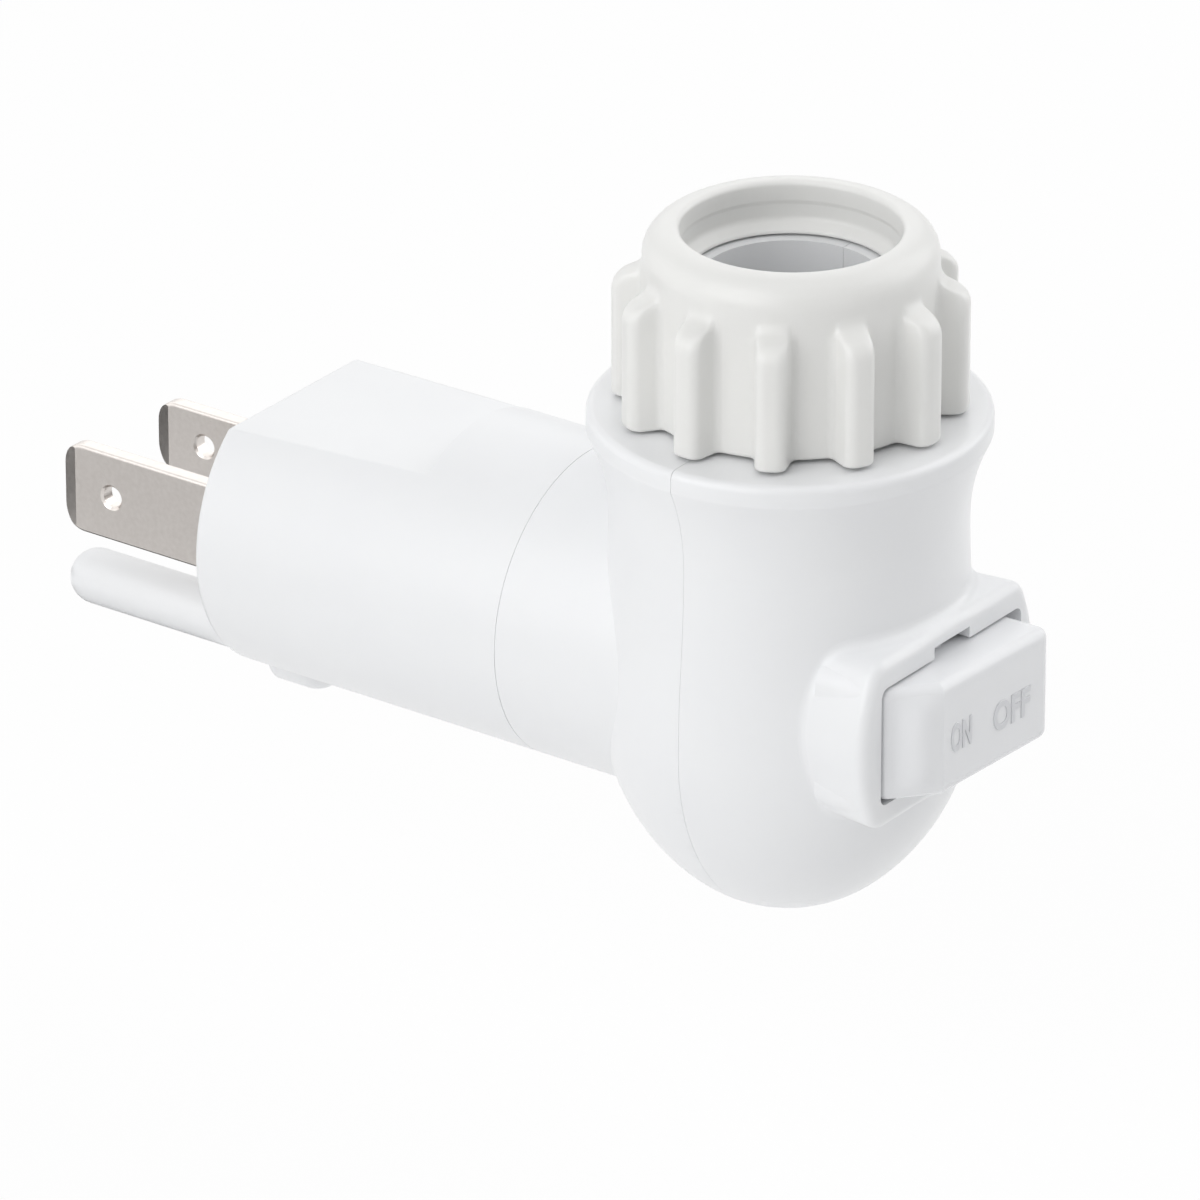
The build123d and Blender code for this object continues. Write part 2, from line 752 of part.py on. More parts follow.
pieces = {
    "plug_housing": plug_housing,
    "neutral_blade": neutral_blade,
    "line_blade": line_blade,
    "contact_carrier": contact_carrier,
    "neutral_slip_ring": neutral_slip_ring,
    "line_slip_disc": line_slip_disc,
    "retaining_ring": retaining_ring,
    "rear_shell": rear_shell,
    "front_shell": front_shell,
    "socket_insulator": socket_insulator,
    "screw_shell": screw_shell,
    "centre_contact": centre_contact,
    "neutral_rivet": neutral_rivet,
    "neutral_wiper": neutral_wiper,
    "line_wiper": line_wiper,
    "switch_leaf": switch_leaf,
    "leaf_button": leaf_button,
    "terminal_button": terminal_button,
    "rocker": rocker,
    "ring_nut": ring_nut,
}

os.makedirs("parts", exist_ok=True)
for name, piece in pieces.items():
    piece.part.label = name
    export_step(piece.part, f"parts/{name}.step")
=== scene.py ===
"""Looks of a plug-in night light socket: finishes, added pieces, studio and camera.

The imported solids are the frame. Their shapes stay as they are, and each gets the finish of its real material.
What they leave out is made here as numpy surfaces in the same frame: the rolled thread of the lamp holder,
the soft ribs and turned-in lip of the ring, the rocker's finger pad and the fillings of the two seams. The
marking of the switch is made of letters. All lengths below are in millimetres unless a name says otherwise.
"""
import logging
import math
from dataclasses import dataclass, field
from enum import Enum
from typing import Any

import bpy
import numpy as np
from mathutils import Matrix, Vector
from mathutils.bvhtree import BVHTree


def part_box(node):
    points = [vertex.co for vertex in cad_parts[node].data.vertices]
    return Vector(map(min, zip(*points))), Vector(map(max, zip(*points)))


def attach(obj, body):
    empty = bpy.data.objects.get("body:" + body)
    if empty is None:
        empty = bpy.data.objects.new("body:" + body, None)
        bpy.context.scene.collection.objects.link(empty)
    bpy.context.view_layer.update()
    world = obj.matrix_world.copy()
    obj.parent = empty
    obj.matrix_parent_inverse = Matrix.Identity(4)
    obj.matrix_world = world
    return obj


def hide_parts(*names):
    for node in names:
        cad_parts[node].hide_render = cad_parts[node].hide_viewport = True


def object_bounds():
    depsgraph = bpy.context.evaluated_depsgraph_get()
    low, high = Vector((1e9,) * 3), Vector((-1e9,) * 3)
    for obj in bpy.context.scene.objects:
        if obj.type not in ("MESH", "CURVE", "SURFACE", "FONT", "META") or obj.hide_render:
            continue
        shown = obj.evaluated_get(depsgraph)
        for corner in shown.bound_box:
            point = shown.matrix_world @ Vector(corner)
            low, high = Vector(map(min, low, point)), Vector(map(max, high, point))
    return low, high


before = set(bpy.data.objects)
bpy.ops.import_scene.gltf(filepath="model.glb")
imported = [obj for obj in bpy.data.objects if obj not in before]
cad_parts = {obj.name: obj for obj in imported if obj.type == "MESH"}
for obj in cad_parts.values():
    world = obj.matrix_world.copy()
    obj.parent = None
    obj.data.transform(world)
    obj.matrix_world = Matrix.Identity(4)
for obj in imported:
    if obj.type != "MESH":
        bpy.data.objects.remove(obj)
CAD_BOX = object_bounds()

log = logging.getLogger("night_light_socket")

MM = 0.001
FRAME_PX = 1200.0


class Body(Enum):
    """Bodies of the frame that pieces ride on."""

    PLUG = "plug"
    LAMP_BODY = "lamp_body"
    ROCKER = "rocker"
    RING = "ring"


def linear(colour: str) -> tuple[float, float, float, float]:
    """Turn an sRGB hex colour into linear light.

    Args:
        colour: Six hex digits with a leading hash.

    Returns:
        Red, green, blue and an alpha of one.
    """
    srgb = np.array([int(colour[i : i + 2], 16) for i in (1, 3, 5)]) / 255.0
    light = np.where(srgb <= 0.04045, srgb / 12.92, ((srgb + 0.055) / 1.055) ** 2.4)
    return (*light.tolist(), 1.0)


def add_node(
    tree: bpy.types.NodeTree,
    kind: str,
    settings: dict[str, Any] | None = None,
    values: dict[str, Any] | None = None,
    links: dict[str, bpy.types.NodeSocket] | None = None,
) -> bpy.types.Node:
    """Add one shader node with its settings, socket values and incoming links.

    Args:
        tree: Node tree of the material.
        kind: Blender's type name of the node.
        settings: Attributes of the node.
        values: Default values of its input sockets, by name.
        links: Output sockets to join to its input sockets, by name.

    Returns:
        The new node.
    """
    node = tree.nodes.new(kind)
    for name, value in (settings or {}).items():
        setattr(node, name, value)
    for name, value in (values or {}).items():
        node.inputs[name].default_value = value
    for name, socket in (links or {}).items():
        tree.links.new(socket, node.inputs[name])
    return node


def new_material(name: str) -> tuple[bpy.types.Material, bpy.types.NodeTree, bpy.types.Node]:
    """Make a material with a bare output node.

    Args:
        name: Name of the real material and how it was made.

    Returns:
        The material, its node tree and its output node.
    """
    material = bpy.data.materials.new(name)
    material.use_nodes = True
    tree = material.node_tree
    tree.nodes.clear()
    return material, tree, tree.nodes.new("ShaderNodeOutputMaterial")


def per_metre(size_mm: float) -> float:
    """Scale of a pattern, in repeats per metre, from its size in millimetres."""
    return 1.0 / (size_mm * MM)


def noise(
    tree: bpy.types.NodeTree, place: bpy.types.NodeSocket, scale: float, detail: float
) -> bpy.types.NodeSocket:
    """Add a noise pattern.

    Args:
        tree: Node tree of the material.
        place: Coordinates that it follows.
        scale: Its repeats per unit of the coordinates.
        detail: How many finer layers it has.

    Returns:
        The socket with its value.
    """
    values = {"Scale": scale, "Detail": detail}
    return add_node(tree, "ShaderNodeTexNoise", values=values, links={"Vector": place}).outputs["Fac"]


@dataclass(frozen=True)
class Finish:
    """Surface of a real material: two colours that drift into each other, a gloss and a fine relief."""

    name: str
    colour: str
    drift_colour: str
    roughness: float

    def surface(
        self,
        target: tuple[bpy.types.NodeTree, bpy.types.Node],
        patterns: tuple[bpy.types.NodeSocket, bpy.types.NodeSocket, bpy.types.NodeSocket],
        roughness_drift: float,
        relief_mm: float,
        values: dict[str, Any],
    ) -> None:
        """Join the patterns to the shader.

        Args:
            target: Node tree of the material and its output node.
            patterns: Patterns of the colour, the gloss and the relief.
            roughness_drift: How far the roughness goes to each side.
            relief_mm: Depth of the relief.
            values: Values of the shader's own sockets.
        """
        tree, output = target
        colours, gloss, relief = patterns
        tint = add_node(tree, "ShaderNodeMix", {"data_type": "RGBA"}, links={"Factor": colours})
        tint.inputs["A"].default_value = linear(self.colour)
        tint.inputs["B"].default_value = linear(self.drift_colour)
        rough = add_node(
            tree,
            "ShaderNodeMapRange",
            values={"To Min": self.roughness - roughness_drift, "To Max": self.roughness + roughness_drift},
            links={"Value": gloss},
        )
        bump = add_node(
            tree,
            "ShaderNodeBump",
            values={"Strength": 1.0, "Distance": relief_mm * MM},
            links={"Height": relief},
        )
        shader = add_node(
            tree,
            "ShaderNodeBsdfPrincipled",
            values=values,
            links={
                "Base Color": tint.outputs["Result"],
                "Roughness": rough.outputs["Result"],
                "Normal": bump.outputs["Normal"],
            },
        )
        tree.links.new(shader.outputs["BSDF"], output.inputs["Surface"])


@dataclass(frozen=True)
class MouldedPlastic(Finish):
    """Injection-moulded plastic: an even colour, a satin gloss and the faint grain of a spark-eroded mould.

    The eye sees slightly soft reflections that break up over a fine grain, and a colour that drifts a little
    where the wall is thicker or the melt has flowed. scatter is the share of light that wanders under the
    surface, and scatter_spread how far each colour goes, in parts of scatter_mm.
    """

    grain_mm: float = 0.35
    grain_depth_mm: float = 0.004
    grain_detail: float = 2.0
    flow_mm: float = 9.0
    flow_detail: float = 3.0
    roughness_drift: float = 0.05
    ior: float = 1.5
    scatter: float = 0.0
    scatter_mm: float = 0.8
    scatter_spread: tuple[float, float, float] = (1.0, 1.0, 1.0)

    def material(self) -> bpy.types.Material:
        """Build the node material.

        Returns:
            A material on Object coordinates.
        """
        material, tree, output = new_material(self.name)
        place = add_node(tree, "ShaderNodeTexCoord").outputs["Object"]
        flow = noise(tree, place, per_metre(self.flow_mm), self.flow_detail)
        grain = noise(tree, place, per_metre(self.grain_mm), self.grain_detail)
        values = {
            "IOR": self.ior,
            "Metallic": 0.0,
            "Subsurface Weight": self.scatter,
            "Subsurface Radius": self.scatter_spread,
            "Subsurface Scale": self.scatter_mm * MM,
        }
        self.surface((tree, output), (flow, flow, grain), self.roughness_drift, self.grain_depth_mm, values)
        return material


@dataclass(frozen=True)
class DrawnMetal(Finish):
    """Rolled or plated sheet metal: a fine lengthwise grain, and a tone that clouds a little over the sheet.

    The eye sees reflections drawn out across the rolling direction, with faint streaks along it.
    """

    streak_mm: tuple[float, float, float]
    streak_depth_mm: float = 0.002
    cloud_mm: float = 5.0
    streak_detail: float = 3.0
    cloud_detail: float = 4.0
    roughness_drift: float = 0.08

    def material(self) -> bpy.types.Material:
        """Build the node material.

        Returns:
            A material on Object coordinates.
        """
        material, tree, output = new_material(self.name)
        place = add_node(tree, "ShaderNodeTexCoord").outputs["Object"]
        stretched = add_node(
            tree,
            "ShaderNodeMapping",
            values={"Scale": tuple(per_metre(length) for length in self.streak_mm)},
            links={"Vector": place},
        )
        streak = noise(tree, stretched.outputs["Vector"], 1.0, self.streak_detail)
        cloud = noise(tree, place, per_metre(self.cloud_mm), self.cloud_detail)
        patterns = (cloud, streak, streak)
        self.surface((tree, output), patterns, self.roughness_drift, self.streak_depth_mm, {"Metallic": 1.0})
        return material


class Finishes:
    """The finishes of this object, each made into a material once."""

    # Cool white shells from a smooth mould: broad soft highlights
    cool_abs = MouldedPlastic("moulded_abs_cool_white", "#ecedee", "#e8e9eb", 0.30)
    # Warmer white of another batch, thick enough to glow a little: softer shadows between the ribs
    warm_abs = MouldedPlastic("moulded_abs_warm_white", "#e7e7e5", "#e3e3e1", 0.34, scatter=0.4)
    # Polished mould: the rocker's edges shine more than the shells
    rocker_abs = MouldedPlastic("moulded_abs_polished_white", "#ebecee", "#e7e8ea", 0.26)
    # A little greyer than the face under it: letters that only just stand out
    marking_abs = MouldedPlastic("moulded_abs_marking_grey", "#d8d9dc", "#d4d5d8", 0.3)
    # Unpolished inner plastic: cream and dull
    cream_pbt = MouldedPlastic("moulded_pbt_cream", "#d9d4c6", "#d0cabb", 0.45)
    # Barrel plating over brass: warm grey satin with a fine salt-and-pepper grain
    nickel = DrawnMetal(
        "nickel_plated_brass_sheet",
        "#dfdad6",
        "#cfc9c4",
        0.32,
        (0.25, 0.5, 0.25),
        streak_depth_mm=0.003,
        cloud_mm=0.4,
    )
    # Bare strip: yellow, with streaks along its length
    brass = DrawnMetal("rolled_brass_strip", "#d6b36a", "#c9a55c", 0.3, (0.15, 4.0, 0.15))
    # Coined buttons: pale and bright, with no direction
    silver = DrawnMetal("coined_silver_alloy", "#dcdad4", "#d0cec8", 0.25, (0.3, 0.3, 0.3))
    # Heat-blued wire: middle grey with a faint blue, streaked along its length
    spring_steel = DrawnMetal("blued_spring_steel", "#8d8f93", "#84868a", 0.32, (0.2, 0.2, 3.0))
    # Drawn cup: pale grey, streaked along the draw
    aluminium = DrawnMetal("drawn_aluminium_shell", "#d3d4d6", "#c9cacc", 0.3, (0.25, 0.25, 4.0))

    def __init__(self) -> None:
        """Start with no material made."""
        self._made: dict[str, bpy.types.Material] = {}

    def of(self, finish: MouldedPlastic | DrawnMetal) -> bpy.types.Material:
        """Give a finish's material, made on first use.

        Args:
            finish: One of the finishes above.

        Returns:
            Its material.
        """
        if finish.name not in self._made:
            self._made[finish.name] = finish.material()
        return self._made[finish.name]


def dress(node: str, material: bpy.types.Material) -> None:
    """Give a solid of the frame its finish.

    Args:
        node: Name of the solid.
        material: Material for its whole surface.
    """
    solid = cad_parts[node]
    solid.data.materials.clear()
    solid.data.materials.append(material)
    log.info("dressed %s in %s", node, material.name)


def solid_tree(node: str) -> BVHTree:
    """Make a search tree of a solid's faces, to find places on its surface.

    Args:
        node: Name of the solid.

    Returns:
        The tree, in metres.
    """
    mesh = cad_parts[node].data
    corners = [vertex.co for vertex in mesh.vertices]
    return BVHTree.FromPolygons(corners, [tuple(face.vertices) for face in mesh.polygons])


def mesh_piece(
    name: str, points: np.ndarray, faces: np.ndarray, material: bpy.types.Material, smooth: bool = True
) -> bpy.types.Object:
    """Make an object from arrays.

    Args:
        name: Name of the piece.
        points: Places in metres, one row each.
        faces: Corner numbers of the quads or triangles, one row each.
        material: Its finish.
        smooth: Whether its shading runs on from face to face.

    Returns:
        The object, at the origin.
    """
    mesh = bpy.data.meshes.new(name)
    mesh.from_pydata(points.tolist(), [], faces.tolist())
    mesh.polygons.foreach_set("use_smooth", np.full(len(mesh.polygons), smooth))
    mesh.materials.append(material)
    mesh.update()
    piece = bpy.data.objects.new(name, mesh)
    bpy.context.scene.collection.objects.link(piece)
    return piece


def grid_faces(rows: int, columns: int, closed_rows: bool, closed_columns: bool) -> np.ndarray:
    """Quads of a grid of points, numbered row by row.

    Args:
        rows: Number of rows of points.
        columns: Number of points in a row.
        closed_rows: Whether the last row joins the first.
        closed_columns: Whether a row's last point joins its first.

    Returns:
        Four corner numbers for each quad.
    """
    row = np.arange(rows if closed_rows else rows - 1)
    column = np.arange(columns if closed_columns else columns - 1)
    r, c = np.meshgrid(row, column, indexing="ij")
    below, right = (r + 1) % rows, (c + 1) % columns
    here, under = r * columns, below * columns
    return np.stack([here + c, here + right, under + right, under + c], axis=-1).reshape(-1, 4)


def rounded_path(
    corners: list[tuple[float, float]], radii: tuple[float, ...], steps: int = 8, ease: float = 0.05
) -> np.ndarray:
    """Path through corners, each inner one rounded by an arc that touches both of its runs.

    The arc's centre lies on the bisector, radius / sin(half the corner's angle) from the corner, and its
    points swing evenly from one touching point to the other. A run keeps one more point close to each of its
    ends, so that smooth shading stays flat along it.

    Args:
        corners: Corners of the path, first to last.
        radii: Radius at each inner corner.
        steps: Number of steps along each arc.
        ease: Distance of a run's extra points from its ends.

    Returns:
        The path's points, one row each.
    """
    ends = np.array(corners, dtype=float)
    pieces, last = [], ends[0]
    swing = np.linspace(0.0, 1.0, steps + 1)[:, None]
    for before, corner, after, radius in zip(ends[:-2], ends[1:-1], ends[2:], radii):
        back = (before - corner) / np.linalg.norm(before - corner)
        ahead = (after - corner) / np.linalg.norm(after - corner)
        half = math.acos(np.clip(back @ ahead, -1.0, 1.0)) / 2
        reach = radius / math.tan(half)
        centre = corner + (back + ahead) / np.linalg.norm(back + ahead) * radius / math.sin(half)
        first, second = corner + back * reach, corner + ahead * reach
        turn = math.pi - 2 * half
        from_first, to_second = np.sin((1 - swing) * turn), np.sin(swing * turn)
        arc = centre + (from_first * (first - centre) + to_second * (second - centre)) / math.sin(turn)
        run = np.linalg.norm(first - last)
        near = min(ease, run / 3) / run
        pieces += [last + (first - last) * share for share in (0.0, near, 1 - near)] + list(arc[:-1])
        last = second
    run = np.linalg.norm(ends[-1] - last)
    pieces += [last, last + (ends[-1] - last) * min(ease, run / 3) / run, ends[-1]]
    return np.array(pieces)


def facing_out(points: np.ndarray, quads: np.ndarray) -> np.ndarray:
    """Turn the quads of a closed form round where their signed volume is below zero.

    Args:
        points: Places, one row each.
        quads: Four corner numbers for each quad.

    Returns:
        The quads, facing outwards.
    """
    a, b, c, d = (points[quads[:, i]] - points.mean(axis=0) for i in range(4))
    volume = np.einsum("ij,ij->", a, np.cross(b, c)) + np.einsum("ij,ij->", a, np.cross(c, d))
    return quads if volume > 0 else quads[:, ::-1]


@dataclass
class Plug:
    """Plug with its blades, ground pin, slip contacts and retaining ring."""

    finishes: Finishes
    seam_gap: float = 0.08
    seam_depth: float = 0.05
    seam_play: float = 0.01
    shoulder_depth: float = 0.8
    seam_steps: int = 256

    def dress(self) -> None:
        """Give each solid of the plug its finish."""
        plated = self.finishes.of(Finishes.nickel)
        contact = self.finishes.of(Finishes.brass)
        dress("plug_housing", self.finishes.of(Finishes.cool_abs))
        dress("neutral_blade", plated)
        dress("line_blade", plated)
        dress("contact_carrier", self.finishes.of(Finishes.cream_pbt))
        dress("neutral_slip_ring", contact)
        dress("line_slip_disc", contact)
        dress("retaining_ring", self.finishes.of(Finishes.spring_steel))

    def seam_ring(self) -> bpy.types.Object:
        """Make the narrow shoulder at the bottom of the seam between the plug and the collar.

        A rectangle in the seam, a little under the plug's radius, carried round the plug's axis: x is the
        radius times cos(angle), z the radius times sin(angle).

        Returns:
            The shoulder.
        """
        low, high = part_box("plug_housing")
        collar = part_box("rear_shell")[1].y / MM
        radius = (high.x - low.x) / 2 / MM
        outer, inner = radius - self.seam_depth, radius - self.shoulder_depth
        start, end = collar + self.seam_play, collar + self.seam_gap - self.seam_play
        loop_r = np.array([inner, outer, outer, inner])[:, None]
        loop_y = np.array([start, start, end, end])[:, None]
        angle = np.linspace(0.0, 2 * math.pi, self.seam_steps, endpoint=False)[None, :]
        x, z = loop_r * np.cos(angle), loop_r * np.sin(angle)
        points = np.stack([x, np.broadcast_to(loop_y, x.shape), z], axis=-1).reshape(-1, 3) * MM
        quads = facing_out(points, grid_faces(4, self.seam_steps, True, True))
        ring = mesh_piece("seam_shoulder", points, quads, self.finishes.of(Finishes.cool_abs), smooth=False)
        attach(ring, Body.PLUG.value)
        log.info("seam_shoulder closes the seam at the collar")
        return ring


@dataclass
class LampHolder:
    """Lamp body with its two shells, the lamp holder in its neck and the contact strips."""

    finishes: Finishes
    thread_pitch: float = 2.54
    thread_depth: float = 0.28
    sheet_thickness: float = 0.3
    run_out_turns: float = 0.35
    steps_per_turn: int = 96
    steps_per_pitch: int = 14
    foot_height: float = 2.0
    shell_hole: float = 3.0
    bead_width: float = 0.034
    bead_depth: float = 0.03
    bead_height: float = 0.6
    bead_centre_z: float = 5.0
    bead_arc_deg: tuple[float, float] = (-226.0, 46.0)
    bead_steps: int = 240
    look_from: float = 100.0

    def dress(self) -> None:
        """Give each solid of the lamp body its finish."""
        shell = self.finishes.of(Finishes.cool_abs)
        strip = self.finishes.of(Finishes.brass)
        silver = self.finishes.of(Finishes.silver)
        for node in ("rear_shell", "front_shell"):
            dress(node, shell)
        for node in ("centre_contact", "neutral_rivet", "neutral_wiper", "line_wiper", "switch_leaf"):
            dress(node, strip)
        for node in ("leaf_button", "terminal_button"):
            dress(node, silver)
        dress("socket_insulator", self.finishes.of(Finishes.cream_pbt))

    def outline_at(self, angles: np.ndarray, lamp_y: float) -> np.ndarray:
        """Find the lamp body's outline on the parting plane by looking at it from all round.

        Args:
            angles: Directions about the middle of the body, in the plane of X and Z.
            lamp_y: Place of the parting plane.

        Returns:
            Places on the outline along X and Z, one row each.
        """
        front = solid_tree("front_shell")
        middle = Vector((0.0, lamp_y - self.bead_width, self.bead_centre_z)) * MM
        rays = [Vector((math.cos(angle), 0.0, math.sin(angle))) for angle in angles]
        spots = [front.ray_cast(middle + ray * self.look_from * MM, -ray)[0] for ray in rays]
        return np.array([(spot.x, spot.z) for spot in spots]) / MM

    def weld_bead(self) -> bpy.types.Object:
        """Make the weld bead at the bottom of the parting line between the two shells.

        A rectangle in the parting plane, a little under the surface, carried along the body's outline: its
        corners lie along the outline's inward normal.

        Returns:
            The bead.
        """
        low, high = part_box("screw_shell")
        lamp_y = (low.y + high.y) / 2 / MM
        angles = np.radians(np.linspace(*self.bead_arc_deg, self.bead_steps))
        outline = self.outline_at(angles, lamp_y)
        along = np.gradient(outline, axis=0)
        along /= np.linalg.norm(along, axis=1)[:, None]
        inward = np.column_stack((-along[:, 1], along[:, 0]))
        outer, inner = outline + inward * self.bead_depth, outline + inward * self.bead_height
        near, far = lamp_y - self.bead_width / 2, lamp_y + self.bead_width / 2
        corners = ((outer, near), (outer, far), (inner, far), (inner, near))
        rows = [np.column_stack((line[:, 0], np.full(len(line), y), line[:, 1])) for line, y in corners]
        points = np.stack(rows, axis=1).reshape(-1, 3) * MM
        last = 4 * (self.bead_steps - 1)
        ends = np.array([[3, 2, 1, 0], [last, last + 1, last + 2, last + 3]])
        quads = facing_out(points, np.concatenate((grid_faces(self.bead_steps, 4, False, True), ends)))
        bead = mesh_piece("weld_bead", points, quads, self.finishes.of(Finishes.cool_abs), smooth=False)
        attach(bead, Body.LAMP_BODY.value)
        log.info("weld_bead closes the parting line")
        return bead

    def screw_shell(self) -> bpy.types.Object:
        """Make the screw shell with its rolled thread, in place of the plain solid.

        The wall's middle radius at height z and angle a is the mean radius plus the depth times
        cos(2 pi z / pitch - a), fading to nothing over the run-out at both ends. The profile starts at the
        foot's hole, goes out along the foot and up the threaded wall, and comes back one sheet thickness
        inside, as one closed loop that is carried round the lamp axis.

        Returns:
            The threaded shell.
        """
        low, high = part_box("screw_shell")
        axis_x, axis_y = (low.x + high.x) / 2, (low.y + high.y) / 2
        outer = (high.x - low.x) / 2 / MM
        bottom, top = low.z / MM, high.z / MM
        half = self.sheet_thickness / 2
        mean = outer - self.thread_depth - half
        foot_top = bottom + self.foot_height
        foot_radius = mean - self.thread_depth
        rows = int((top - foot_top) / self.thread_pitch * self.steps_per_pitch)
        wall_z = np.linspace(foot_top, top, rows)
        middle_r = np.concatenate(([self.shell_hole, foot_radius, foot_radius], np.full(rows, mean)))
        middle_z = np.concatenate(([bottom + half, bottom + half, foot_top - half], wall_z))
        fade_length = self.run_out_turns * self.thread_pitch
        fade = np.clip((wall_z - foot_top) / fade_length, 0, 1) * np.clip((top - wall_z) / fade_length, 0, 1)
        swell = np.concatenate((np.zeros(3), fade * self.thread_depth))
        angle = np.linspace(0.0, 2 * math.pi, self.steps_per_turn, endpoint=False)
        wave = np.cos(2 * math.pi * middle_z[:, None] / self.thread_pitch - angle[None, :])
        radius = middle_r[:, None] + swell[:, None] * wave
        tangent_r = np.gradient(radius, axis=0)
        tangent_z = np.gradient(middle_z)[:, None] * np.ones_like(radius)
        length = np.hypot(tangent_r, tangent_z)
        normal_r, normal_z = tangent_z / length, -tangent_r / length
        inner_r, inner_z = radius - half * normal_r, middle_z[:, None] - half * normal_z
        outer_r, outer_z = radius + half * normal_r, middle_z[:, None] + half * normal_z
        loop_r = np.concatenate((outer_r, inner_r[::-1]))
        loop_z = np.concatenate((outer_z, inner_z[::-1]))
        points = np.stack(
            [
                axis_x + loop_r * np.cos(angle) * MM,
                axis_y + loop_r * np.sin(angle) * MM,
                loop_z * MM,
            ],
            axis=-1,
        ).reshape(-1, 3)
        faces = grid_faces(len(loop_r), self.steps_per_turn, True, True)
        shell = mesh_piece("rolled_screw_shell", points, faces, self.finishes.of(Finishes.aluminium))
        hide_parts("screw_shell")
        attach(shell, Body.LAMP_BODY.value)
        log.info("rolled_screw_shell stands for screw_shell")
        return shell


@dataclass
class Switch:
    """Rocker of the switch with its finger pad and its moulded marking."""

    finishes: Finishes
    tree: BVHTree = field(init=False, repr=False)
    look_from: float = 10.0
    letter_height: float = 2.6
    letter_depth: float = 0.06
    stroke_swell: float = 0.06
    letter_rounding: float = 0.03
    letter_rounding_steps: int = 1
    letter_curve_steps: int = 6
    on_place: tuple[float, float] = (-3.4, 0.1)
    off_place: tuple[float, float] = (3.3, -0.2)
    on_width: float = 2.7
    off_width: float = 4.9
    pad_x: tuple[float, float] = (-9.15, -5.3)
    pad_centre_z: float = 0.3
    pad_height: float = 8.8
    pad_bulge: float = 0.6
    pad_root: float = 0.3
    pad_sink: float = 0.01
    pad_power: int = 6
    pad_facing: tuple[float, float] = (-0.644, -0.765)
    pad_grid: tuple[int, int] = (28, 40)

    def __post_init__(self) -> None:
        """Keep a search tree of the rocker's surface."""
        self.tree = solid_tree("rocker")

    def dress(self) -> None:
        """Give the rocker its finish."""
        dress("rocker", self.finishes.of(Finishes.rocker_abs))

    def face_at(self, x: float, z: float) -> tuple[Vector, Vector]:
        """Find the rocker's face in front of a point of the switch.

        Args:
            x: Place across the switch.
            z: Height.

        Returns:
            The point on the face, in metres, and the face's outward direction there.
        """
        low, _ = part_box("rocker")
        start = Vector((x * MM, low.y - self.look_from * MM, z * MM))
        spot, normal, _, _ = self.tree.ray_cast(start, Vector((0.0, 1.0, 0.0)))
        return spot, normal

    def finger_pad(self) -> bpy.types.Object:
        """Make the barrel-shaped pad on the rocker's sloping end.

        Over the slope at a across and b along, each from -1 to 1, the pad stands out by the bulge times
        cos(a pi / 2) squared times (1 - b to the pad's power) squared, less a little that sinks its border,
        so that it rises from the slope without an edge. a and b run as sines, which sets the points closer at
        the border. Its underside lies inside the rocker.

        Returns:
            The pad.
        """
        columns, rows = self.pad_grid
        across, along = (np.sin(np.linspace(-1.0, 1.0, count) * math.pi / 2) for count in self.pad_grid)
        x = np.interp(across, (-1.0, 1.0), self.pad_x)
        z = self.pad_centre_z + along * self.pad_height / 2
        slope = np.array([[self.face_at(place, level)[0] for place in x] for level in z]) / MM
        swell = np.cos(across[None, :] * math.pi / 2) ** 2 * (1 - along[:, None] ** self.pad_power) ** 2
        rise = self.pad_bulge * swell - self.pad_sink
        facing = np.array((*self.pad_facing, 0.0))
        face = slope + rise[..., None] * facing
        back = slope - self.pad_root * facing
        points = np.concatenate((face, back[:, ::-1]), axis=1).reshape(-1, 3) * MM
        loop = 2 * columns
        edge = np.arange(columns - 1)
        end = np.stack([edge, edge + 1, loop - 2 - edge, loop - 1 - edge], axis=-1)
        quads = np.concatenate((grid_faces(rows, loop, False, True), end[:, ::-1], end + loop * (rows - 1)))
        faces = facing_out(points, quads)
        pad = mesh_piece("finger_pad", points, faces, self.finishes.of(Finishes.rocker_abs))
        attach(pad, Body.ROCKER.value)
        log.info("finger_pad on the rocker")
        return pad

    def word(self, text: str, place: tuple[float, float], width: float) -> bpy.types.Object:
        """Make one raised word on the rocker's face.

        Args:
            text: The word.
            place: Its centre on the face, along X and Z.
            width: Its whole width.

        Returns:
            The word as a mesh.
        """
        name = f"marking_{text.lower()}"
        curve = bpy.data.curves.new(name, "FONT")
        curve.body = text
        curve.size = self.letter_height * MM
        curve.extrude = self.letter_depth * MM
        curve.offset = self.stroke_swell * MM
        curve.bevel_depth = self.letter_rounding * MM
        curve.bevel_resolution = self.letter_rounding_steps
        curve.resolution_u = self.letter_curve_steps
        lettering = bpy.data.objects.new(name, curve)
        bpy.context.scene.collection.objects.link(lettering)
        mesh = bpy.data.meshes.new_from_object(lettering)
        bpy.data.objects.remove(lettering)
        corners = np.empty(len(mesh.vertices) * 3)
        mesh.vertices.foreach_get("co", corners)
        low, high = corners.reshape(-1, 3).min(axis=0), corners.reshape(-1, 3).max(axis=0)
        across, upward = high[:2] - low[:2]
        fit = Matrix.Diagonal((width * MM / across, self.letter_height * MM / upward, 1.0, 1.0))
        centred = Matrix.Translation((-(low[0] + high[0]) / 2, -(low[1] + high[1]) / 2, 0.0))
        spot, normal = self.face_at(*place)
        up = Vector((0.0, 0.0, 1.0))
        turn = Matrix((up.cross(normal), up, normal)).transposed().to_4x4()
        mesh.transform(Matrix.Translation(spot) @ turn @ fit @ centred)
        mesh.materials.clear()
        mesh.materials.append(self.finishes.of(Finishes.marking_abs))
        word = bpy.data.objects.new(name, mesh)
        bpy.context.scene.collection.objects.link(word)
        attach(word, Body.ROCKER.value)
        log.info("marked the rocker with %s", text)
        return word

